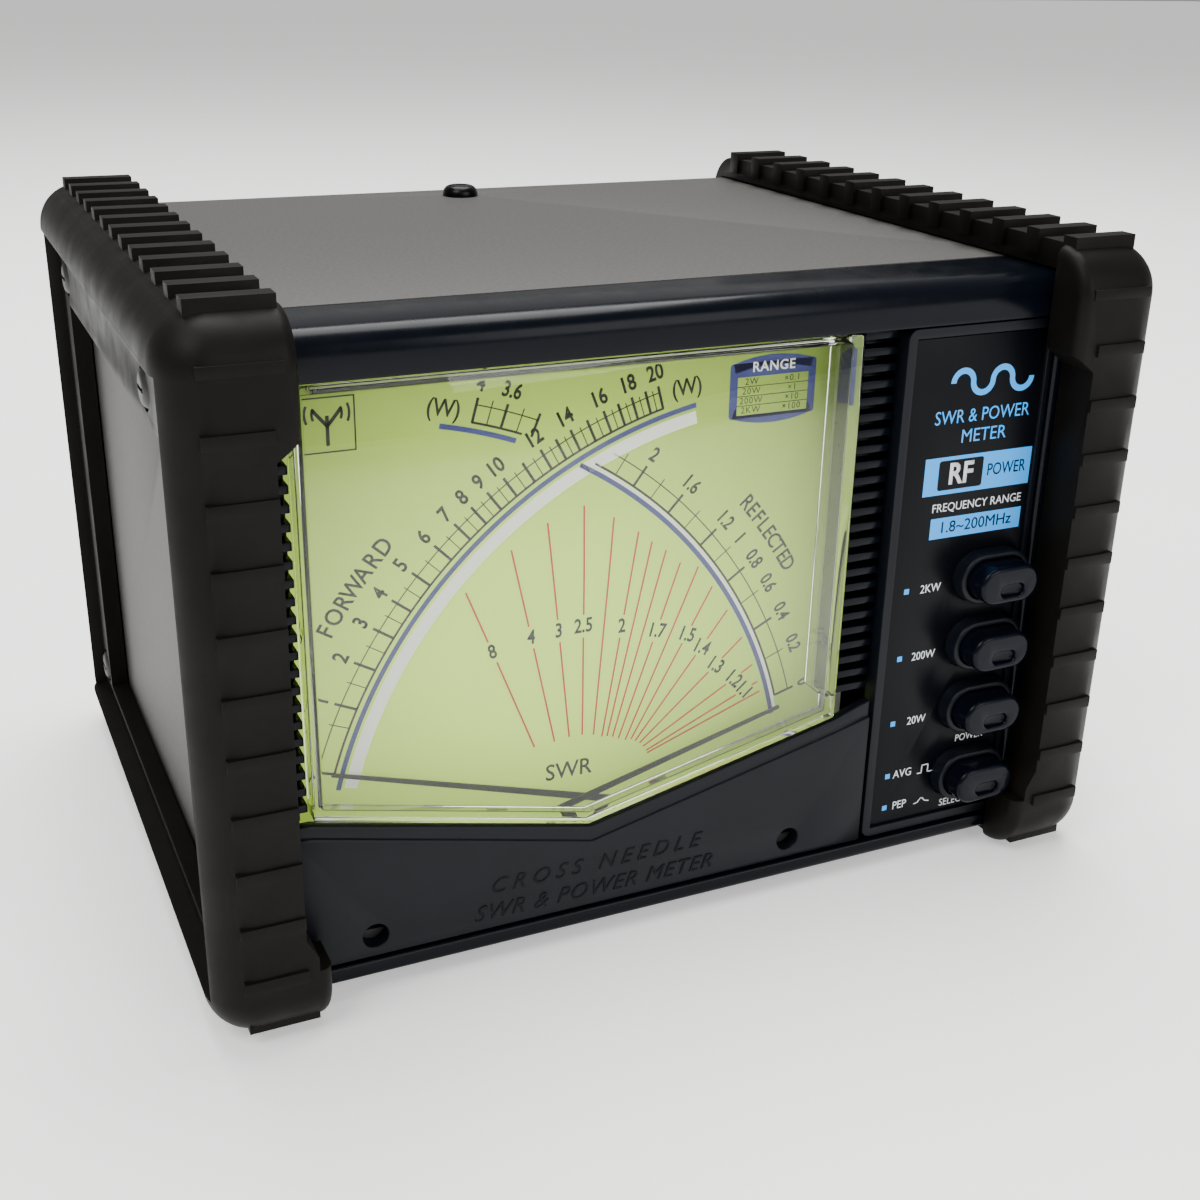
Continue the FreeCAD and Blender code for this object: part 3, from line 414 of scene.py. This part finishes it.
def arcMark(x, z, y, radius, wide, start, end):
    # an arc spun from the edge of a tiny strip about its centre
    deselect()
    bpy.ops.mesh.primitive_plane_add(size=1, location=(radius * mm, 0, 0), rotation=(math.pi / 2, 0, 0))
    mark = bpy.context.object
    mark.scale = (wide * mm, 0.002 * mm, 1)
    freeze(mark)
    bpy.ops.object.mode_set(mode="EDIT")
    bpy.ops.mesh.select_mode(type="EDGE")
    bpy.ops.mesh.select_all(action="DESELECT")
    bpy.ops.object.mode_set(mode="OBJECT")
    for edge in mark.data.edges:
        edge.select = all(mark.data.vertices[v].co.z > 0 for v in edge.vertices)
    bpy.ops.object.mode_set(mode="EDIT")
    # one step to a degree, counter-clockwise as seen from the front
    bpy.ops.mesh.spin(steps=max(6, int(abs(end - start))), angle=math.radians(end - start),
                      center=(0, 0, 0), axis=(0, 1, 0))
    bpy.ops.object.mode_set(mode="OBJECT")
    mark.location = (x * mm, y, z * mm)
    mark.rotation_euler = (0, -math.radians(start), 0)
    return mark


capShare = 0.72                       # height of a capital in the built-in font, for a size of 1


def words(text, x, z, y, capHigh, turn=0.0, slant=0.0, narrow=1.0, bold=0.0, gap=1.0, rise=0.0):
    # one line of lettering, centred on its place
    deselect()
    bpy.ops.object.text_add(location=(x * mm, y, z * mm), rotation=(math.pi / 2, -math.radians(turn), 0))
    line = bpy.context.object
    line.data.body = text
    line.data.align_x = "CENTER"
    line.data.align_y = "CENTER"
    line.data.size = capHigh * mm / capShare
    line.data.shear = slant
    line.data.offset = bold * mm
    line.data.space_character = gap
    line.data.extrude = rise * mm
    line.data.resolution_u = 3
    line.scale = (narrow, 1, 1)
    return line


def block(x0, z0, x1, z1, y, corner=0.0):
    # a filled rectangle, its corners cut round
    mark = strip((x0 + x1) / 2, (z0 + z1) / 2, y, x1 - x0, z1 - z0)
    if corner:
        freeze(mark)
        bpy.ops.object.mode_set(mode="EDIT")
        bpy.ops.mesh.select_all(action="SELECT")
        bpy.ops.mesh.bevel(offset=corner * mm, segments=4, affect="VERTICES")
        bpy.ops.object.mode_set(mode="OBJECT")
    return mark


def frameOf(x0, z0, x1, z1, y, wide):
    corners = [(x0, z0), (x1, z0), (x1, z1), (x0, z1), (x0, z0)]
    return stroke(corners, y, wide)


def printed(name, marks, finish, thickMm=0.02, body="case"):
    # all marks of one ink become one thin solid
    deselect()
    for mark in marks:
        mark.select_set(True)
    bpy.context.view_layer.objects.active = marks[0]
    bpy.ops.object.convert(target="MESH")
    bpy.ops.object.join()
    piece = bpy.context.object
    piece.name = name
    piece.data.name = name
    freeze(piece)
    if thickMm:
        useModifier(piece, "SOLIDIFY", thickness=thickMm * mm, offset=0.0)
    dress(piece, finish)
    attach(piece, body)


def polar(centre, radius, angle):
    turn = math.radians(angle)
    return centre[0] + radius * math.cos(turn), centre[1] + radius * math.sin(turn)


# ---- the dial

dialPrint = {
    "forwardPivot": (17.5, 9.9),
    "reflectedPivot": (-49.3, 9.9),
    "forwardZero": 163.2,             # angle of the 0 mark, degrees from +X
    "reflectedZero": 15.8,
    "forwardInner": 71.9,             # radius of the heavy line of each scale
    "reflectedInner": 73.1,
    "rung": 2.5,                      # heavy line to light line
    "labelOut": 5.5,                  # heavy line to the middle of the numbers
    "numberHigh": 2.35,
    "railHeavy": 0.34,                # widths of the long lines and of the ticks
    "railLight": 0.18,
    "tickHeavy": 0.42,
    "tickLight": 0.17,
    "bandIn": 1.15,                   # heavy line to the middle of the blue band
    "bandWide": 0.75,
    "ratioWide": 0.3,
    # watts: degrees the needle has moved
    "forwardMarks": {0: 0, 1: 8.2, 2: 13.2, 3: 17.4, 4: 21, 5: 24.6, 6: 28.3, 7: 31.4, 8: 33.9, 9: 36.2,
                     10: 38.5, 11: 41.1, 12: 43.5, 13: 45.5, 14: 47.4, 15: 49.5, 16: 51.6, 17: 53.4,
                     18: 55.1, 19: 56.8, 20: 58.4},
    "reflectedMarks": {0: 0, 0.2: 5.6, 0.4: 10.3, 0.6: 14.6, 0.8: 18.4, 1: 21.8, 1.2: 24.9, 1.4: 28.2,
                       1.6: 31.3, 1.8: 34.4, 2: 37.2, 2.2: 40.0, 3.2: 51.6, 3.4: 53.5, 3.6: 55.4,
                       3.8: 57.1, 4: 58.8},
}
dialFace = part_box("dial_plate")[0].y - 0.03 * mm
fPivot = dialPrint["forwardPivot"]
rPivot = dialPrint["reflectedPivot"]
black = []
blue = []
white = []
red = []


def swing(marks, watts):
    # degrees the needle has moved, between two marks by the root of the power
    known = sorted(marks.items())
    for (w0, a0), (w1, a1) in zip(known, known[1:]):
        if watts <= w1:
            return a0 + (a1 - a0) * (math.sqrt(watts) - math.sqrt(w0)) / (math.sqrt(w1) - math.sqrt(w0))
    return known[-1][1]


def forwardAngle(watts):
    return dialPrint["forwardZero"] - swing(dialPrint["forwardMarks"], watts)


def reflectedAngle(watts):
    return dialPrint["reflectedZero"] + swing(dialPrint["reflectedMarks"], watts)


def rung(centre, inner, angle, over, wide):
    # one tick from the heavy line outwards
    x, z = polar(centre, inner + over / 2, angle)
    return strip(x, z, dialFace, over, wide, angle)


fIn = dialPrint["forwardInner"]
rIn = dialPrint["reflectedInner"]
step = dialPrint["rung"]
numberHigh = dialPrint["numberHigh"]
railHeavy, railLight = dialPrint["railHeavy"], dialPrint["railLight"]
tickHeavy, tickLight = dialPrint["tickHeavy"], dialPrint["tickLight"]
bandIn, bandWide = dialPrint["bandIn"], dialPrint["bandWide"]
fStart = forwardAngle(0)
fEnd = forwardAngle(20)
black.append(arcMark(*fPivot, dialFace, fIn, railHeavy, fEnd - 0.1, fStart + 0.1))
black.append(arcMark(*fPivot, dialFace, fIn + step, railLight, fEnd - 0.1, fStart + 0.1))
blue.append(arcMark(*fPivot, dialFace, fIn - bandIn, bandWide, fEnd - 4.2, fStart + 2.0))
white.append(arcMark(*fPivot, dialFace, fIn - 2.95, 1.9, fEnd - 4.0, fStart + 1.6))
for watts in range(0, 21):
    angle = forwardAngle(watts)
    black.append(rung(fPivot, fIn, angle, step + 1.0, tickHeavy))
    if watts and (watts <= 10 or watts % 2 == 0):
        x, z = polar(fPivot, fIn + dialPrint["labelOut"], angle)
        black.append(words(str(watts), x, z, dialFace, numberHigh, angle - 90, narrow=0.8, bold=0.09))
    if watts < 20:
        black.append(rung(fPivot, fIn, forwardAngle(watts + 0.5), step + 0.6, 0.16))

rStart = reflectedAngle(0)
lowEnd = reflectedAngle(2.2)
highStart = reflectedAngle(3.2)
highEnd = reflectedAngle(4)
black.append(arcMark(*rPivot, dialFace, rIn, railHeavy, rStart, lowEnd + 3.0))
black.append(arcMark(*rPivot, dialFace, rIn + step, railLight, rStart, lowEnd + 1.6))
black.append(arcMark(*rPivot, dialFace, rIn, railHeavy, highStart + 1.2, highEnd + 0.1))
black.append(arcMark(*rPivot, dialFace, rIn + step, railLight, highStart, highEnd + 0.1))
blue.append(arcMark(*rPivot, dialFace, rIn - bandIn, bandWide, rStart - 2.4, lowEnd + 4.6))
blue.append(arcMark(*rPivot, dialFace, rIn - bandIn, bandWide, highStart + 1.6, highEnd + 3.6))
white.append(arcMark(*rPivot, dialFace, rIn - 0.5, 0.5, rStart - 2.2, lowEnd + 4.0))
heavy = (0, 0.4, 0.8, 1.2, 1.6, 2, 3.2, 3.6, 4)
for watts in dialPrint["reflectedMarks"]:
    angle = reflectedAngle(watts)
    black.append(rung(rPivot, rIn, angle, step + 1.0, tickHeavy if watts in heavy else tickLight))
for watts in (0, 0.2, 0.4, 0.6, 0.8, 1, 1.2, 1.6, 2, 3.6, 4):
    angle = reflectedAngle(watts)
    x, z = polar(rPivot, rIn + dialPrint["labelOut"] - 0.1, angle)
    black.append(words(str(watts), x, z, dialFace, numberHigh - 0.15, angle - 90, narrow=0.8, bold=0.08))


def alongArc(text, centre, radius, middle, letterStep, capHigh, bold):
    # letters one by one along an arc, read clockwise
    for i, letter in enumerate(text):
        angle = middle + ((len(text) - 1) / 2 - i) * letterStep
        x, z = polar(centre, radius, angle)
        black.append(words(letter, x, z, dialFace, capHigh, angle - 90, narrow=0.85, bold=bold))


alongArc("FORWARD", fPivot, 81.2, 143.1, 1.66, 2.65, 0.06)
alongArc("REFLECTED", rPivot, 82.7, 35.6, 1.17, 2.5, 0.05)
black.append(words("(W)", -33.9, 82.7, dialFace, 2.5, -12, narrow=0.85, bold=0.05))
black.append(words("(W)", 2.9, 82.2, dialFace, 2.5, 6, narrow=0.85, bold=0.05))
black.append(words("SWR", -14.9, 23.7, dialFace, 2.8, narrow=0.95, bold=0.04))


def crossing(forwardWatts, reflectedWatts):
    # where the two needles cross for a pair of powers
    a = math.radians(forwardAngle(forwardWatts))
    b = math.radians(reflectedAngle(reflectedWatts))
    base = rPivot[0] - fPivot[0]
    along = base * math.sin(b) / (math.cos(a) * math.sin(b) - math.sin(a) * math.cos(b))
    return fPivot[0] + along * math.cos(a), fPivot[1] + along * math.sin(a)


# standing-wave ratio: forward watts at the low end, at the far end, and the number's place along the line
ratioLines = {"8": (1.25, 5.45, 0.63), "4": (1.75, 8, 0.56), "3": (2.25, 10.4, 0.51),
              "2.5": (2.65, 12.6, 0.49), "2.2": (2.95, 14.1, 0), "2": (3.1, 15.3, 0.55),
              "1.9": (3.3, 16, 0), "1.8": (3.45, 17, 0), "1.7": (3.55, 18.1, 0.62), "1.6": (3.75, 19.2, 0),
              "1.5": (4.05, 20, 0.69), "1.4": (4.1, 20, 0.72), "1.3": (4.15, 20, 0.74),
              "1.2": (4.05, 20, 0.83), "1.1": (3.85, 20, 0.88), "1.05": (3.65, 20, 0)}
longRatio = 1.6                       # from here down the lines run on to the far rim
farRim = 70.6                         # from the reflected pivot
for text, (lowWatts, highWatts, numberAt) in ratioLines.items():
    ratio = float(text)
    share = ((ratio - 1) / (ratio + 1)) ** 2
    x0, z0 = crossing(lowWatts, share * lowWatts)
    x1, z1 = crossing(highWatts, share * highWatts)
    if ratio <= longRatio:
        turn = math.atan2(z1 - z0, x1 - x0)
        stepX, stepZ = 0.2 * math.cos(turn), 0.2 * math.sin(turn)
        while math.hypot(x1 - rPivot[0], z1 - rPivot[1]) < farRim:
            x1, z1 = x1 + stepX, z1 + stepZ
    long = math.hypot(x1 - x0, z1 - z0)
    turn = math.degrees(math.atan2(z1 - z0, x1 - x0))
    if not numberAt:
        red += stroke([(x0, z0), (x1, z1)], dialFace, dialPrint["ratioWide"])
        continue
    nx, nz = x0 + (x1 - x0) * numberAt, z0 + (z1 - z0) * numberAt
    room = (1.9 if ratio > longRatio else 1.6) / long
    for low, high in ((0, numberAt - room), (numberAt + room, 1)):
        if high > low:
            ends = [(x0 + (x1 - x0) * along, z0 + (z1 - z0) * along) for along in (low, high)]
            red += stroke(ends, dialFace, dialPrint["ratioWide"])
    lean = 0 if 1.7 < ratio < 8 else (turn - 90) * 0.72
    black.append(words(text, nx, nz, dialFace, 2.3, lean, narrow=0.78, bold=0.08))

# the range table: blue bellied plate, pale heading, four rows
rangeTable = {"left": 9.9, "right": 24.4, "low": 76.6, "high": 84.9, "belly": 1.2,
              "rows": (("2W", "×0.1"), ("20W", "×1"), ("200W", "×10"), ("2KW", "×100"))}
left, right = rangeTable["left"], rangeTable["right"]
tableMid = (left + right) / 2
blue.append(block(left, rangeTable["low"], right, rangeTable["high"], dialFace, 0.5))
half = (right - left) / 2
bow = (half * half + rangeTable["belly"] ** 2) / (2 * rangeTable["belly"])
spread = math.degrees(math.asin(half / bow)) * 0.93
for z, sign in ((rangeTable["high"] - 0.2, 1), (rangeTable["low"] + 0.2, -1)):
    centreZ = z + sign * (rangeTable["belly"] - bow)
    middle = 90 * sign
    blue.append(arcMark(tableMid, centreZ, dialFace, bow - 0.75, 1.5, middle - spread, middle + spread))
tableFace = dialFace - 0.03 * mm
table = [block(left + 1.3, rangeTable["low"] + 0.5, right - 1.3, rangeTable["high"] - 2.1, tableFace)]
rowHigh = (rangeTable["high"] - 2.6 - rangeTable["low"]) / 4
inkFace = tableFace - 0.03 * mm
small = []
for i, (label, factor) in enumerate(rangeTable["rows"]):
    z = rangeTable["high"] - 2.1 - rowHigh * (i + 0.5)
    small.append(words(label, left + 3.6, z, inkFace, 1.0, gap=1.15))
    small.append(words(factor, right - 4.0, z, inkFace, 1.0, gap=1.15))
    if i:
        small += stroke([(left + 1.3, z + rowHigh / 2), (right - 1.3, z + rowHigh / 2)], inkFace, 0.12)
heading = [words("RANGE", tableMid, rangeTable["high"] - 0.75, tableFace, 1.5, bold=0.04, gap=1.1)]

# a generic aerial sign in a box, top left
aerial = {"left": -53.6, "right": -46.2, "low": 78.4, "high": 85.8}
black += frameOf(aerial["left"], aerial["low"], aerial["right"], aerial["high"], dialFace, 0.22)
middle = (aerial["left"] + aerial["right"]) / 2
black += stroke([(middle, aerial["low"] + 1.0), (middle, aerial["high"] - 2.6)], dialFace, 0.5)
for lean in (-1.9, 1.9):
    black += stroke([(middle, aerial["high"] - 3.9), (middle + lean, aerial["high"] - 1.6)], dialFace, 0.5)
for facing in (0, 180):
    for radius in (2.0, 3.0):
        black.append(arcMark(middle, aerial["high"] - 2.2, dialFace, radius, 0.36, facing - 24, facing + 24))

printed("dial_print_white", white, finishes["inkWhite"])
printed("dial_print_table", table, finishes["dial"])
printed("dial_print_heading", heading, finishes["inkWhite"])
printed("dial_print_blue", blue, finishes["inkBlue"])
printed("dial_print_red", red, finishes["inkRed"])
printed("dial_print_black", black + small, finishes["inkBlack"])
print("dial printed")


# ---- the button panel's label

labelPrint = {"middle": 49.6, "squareX": 37.7, "squareWide": 0.9, "rangeX": 42.2, "glyphWide": 0.18,
              "rows": {"2KW": 48.8, "200W": 37.3, "20W": 25.8}}
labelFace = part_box("label_plate")[0].y - 0.02 * mm
skyInk = labelFace - 0.03 * mm
mx = labelPrint["middle"]
square = labelPrint["squareWide"]
sky = []
pale = []
dark = []

# two periods of a wave, each half an arc
wave = {"left": 42.4, "loop": 3.6, "level": 81.6, "wide": 0.95}
for i in range(4):
    x = wave["left"] + wave["loop"] * (i + 0.5)
    start = 0 if i % 2 == 0 else 180
    sky.append(arcMark(x, wave["level"], labelFace, wave["loop"] / 2, wave["wide"], start, start + 180))
sky.append(words("SWR & POWER", mx - 1.2, 76.3, labelFace, 2.15, narrow=0.87))
sky.append(words("METER", mx - 0.6, 73.1, labelFace, 2.15, narrow=0.95))
sky.append(block(38.8, 64.2, 58.7, 70.2, labelFace))
dark.append(block(41.4, 64.9, 49.6, 69.6, skyInk, 0.4))
pale.append(words("RF", 45.5, 67.25, skyInk - 0.03 * mm, 3.4, narrow=0.92, bold=0.12))
dark.append(words("POWER", 54.1, 67.2, skyInk, 2.0, narrow=0.76))
pale.append(words("FREQUENCY RANGE", mx - 0.3, 62.0, labelFace, 1.4, narrow=0.94))
sky.append(block(40.9, 57.0, 58.0, 60.4, labelFace))
dark.append(words("1.8~200MHz", mx - 0.2, 58.7, skyInk, 1.9, narrow=1.0))
for text, z in labelPrint["rows"].items():
    pale.append(words(text, labelPrint["rangeX"], z, labelFace, 1.45, narrow=0.88))
    sky.append(strip(labelPrint["squareX"], z + 0.1, labelFace, square, square))
for text, z in (("AVG", 16.3), ("PEP", 10.4)):
    pale.append(words(text, 40.6, z, labelFace, 1.5, narrow=0.88))
    sky.append(strip(labelPrint["squareX"], z, labelFace, square, square))
squarePulse = [(43.6, 15.6), (44.4, 15.6), (44.4, 17.0), (45.6, 17.0), (45.6, 15.6), (46.6, 15.6)]
softPeak = [(43.6, 9.9), (44.2, 10.0), (44.8, 10.7), (45.2, 10.7), (45.7, 10.1), (46.5, 9.9)]
for glyph in (squarePulse, softPeak):
    pale += stroke(glyph, labelFace, labelPrint["glyphWide"])
pale.append(words("POWER", 53.3, 20.7, labelFace, 1.3, narrow=0.9))
pale.append(words("SELECTOR", 52.7, 8.9, labelFace, 1.35, narrow=0.9))
printed("label_print_sky", sky, finishes["inkSky"])
printed("label_print_dark", dark, finishes["label"])
printed("label_print_pale", pale, finishes["inkPale"])
print("label printed")


# ---- raised words on the fascia

# rows: the words, their height on the fascia, and their letter spacing
fasciaWords = {"x": -14.6, "high": 2.6, "rise": 0.1,
               "rows": (("CROSS NEEDLE", 12.9, 1.5), ("SWR & POWER METER", 8.6, 1.12))}
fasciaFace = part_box("meter_fascia")[0].y
raised = []
for text, z, gap in fasciaWords["rows"]:
    raised.append(words(text, fasciaWords["x"], z, fasciaFace, fasciaWords["high"], slant=0.35,
                        gap=gap, rise=fasciaWords["rise"]))
printed("fascia_letters", raised, finishes["gloss"], 0)
print("fascia letters done")


# ---- rear lettering, small and plain, turned to read from behind

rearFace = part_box("rear_panel")[1].y + 0.02 * mm
rearMarks = []
for text, x, z in (("ANT", -20.0, 70.5), ("TX", 20.0, 70.5), ("LAMP  DC", -44.0, 29.0)):
    line = words(text, x, z, rearFace, 2.4, bold=0.03)
    line.rotation_euler = (math.pi / 2, 0, math.pi)
    rearMarks.append(line)
printed("rear_lettering", rearMarks, finishes["inkPale"])
print("rear lettered")


# ---- floor, light and camera

studio = {"floor": "#f4f4f2", "floorWide": 8, "floorGlow": 0.45, "world": "#ffffff", "worldStrength": 0.34}
deselect()
bpy.ops.mesh.primitive_plane_add(size=studio["floorWide"], location=(0, 0, 0))
floor = bpy.context.object
floor.name = "floor"
floorFinish, floorTree, floorShader = startFinish("paleFloor", studio["floor"], 0.9)
addMottle(floorTree, floorShader, 600, "#f1f1ef", "#f6f6f4")
floorShader.inputs["Emission Color"].default_value = linear("#ffffff")
floorShader.inputs["Emission Strength"].default_value = studio["floorGlow"]
dress(floor, floorFinish)

world = bpy.data.worlds.new("studioWorld")
bpy.context.scene.world = world
world.use_nodes = True
world.node_tree.nodes["Background"].inputs["Color"].default_value = linear(studio["world"])
world.node_tree.nodes["Background"].inputs["Strength"].default_value = studio["worldStrength"]

lamps = {
    "keyLamp": {"at": (-0.55, -0.35, 0.85), "size": 0.5, "power": 7.0},
    "frontLamp": {"at": (0.35, -0.9, 0.45), "size": 0.6, "power": 5.0},
    "topLamp": {"at": (0.1, 0.25, 0.95), "size": 0.7, "power": 20.0},
}
aim = Vector((0, 0, 0.05))
for name, lamp in lamps.items():
    deselect()
    bpy.ops.object.light_add(type="AREA", location=lamp["at"])
    light = bpy.context.object
    light.name = name
    light.data.size = lamp["size"]
    light.data.energy = lamp["power"]
    light.rotation_euler = (aim - Vector(lamp["at"])).to_track_quat("-Z", "Y").to_euler()

# the camera looks from the left front and above; angles in degrees
eye = {"at": (-0.1009, -0.2402, 0.1409), "yaw": -25.06, "pitch": 22.72, "roll": 1.23, "lens": 47.1}
yaw, pitch, roll = (math.radians(eye[key]) for key in ("yaw", "pitch", "roll"))
back = Vector((math.sin(yaw) * math.cos(pitch), -math.cos(yaw) * math.cos(pitch), math.sin(pitch)))
side = Vector((-back.y, back.x, 0)).normalized()
top = back.cross(side)
sideTurned = side * math.cos(roll) + top * math.sin(roll)
topTurned = top * math.cos(roll) - side * math.sin(roll)
deselect()
bpy.ops.object.camera_add(location=eye["at"])
camera = bpy.context.object
camera.name = "eye"
camera.data.lens = eye["lens"]
camera.data.sensor_width = 36
camera.rotation_euler = Matrix((sideTurned, topTurned, back)).transposed().to_euler()
bpy.context.scene.camera = camera
print("studio ready")
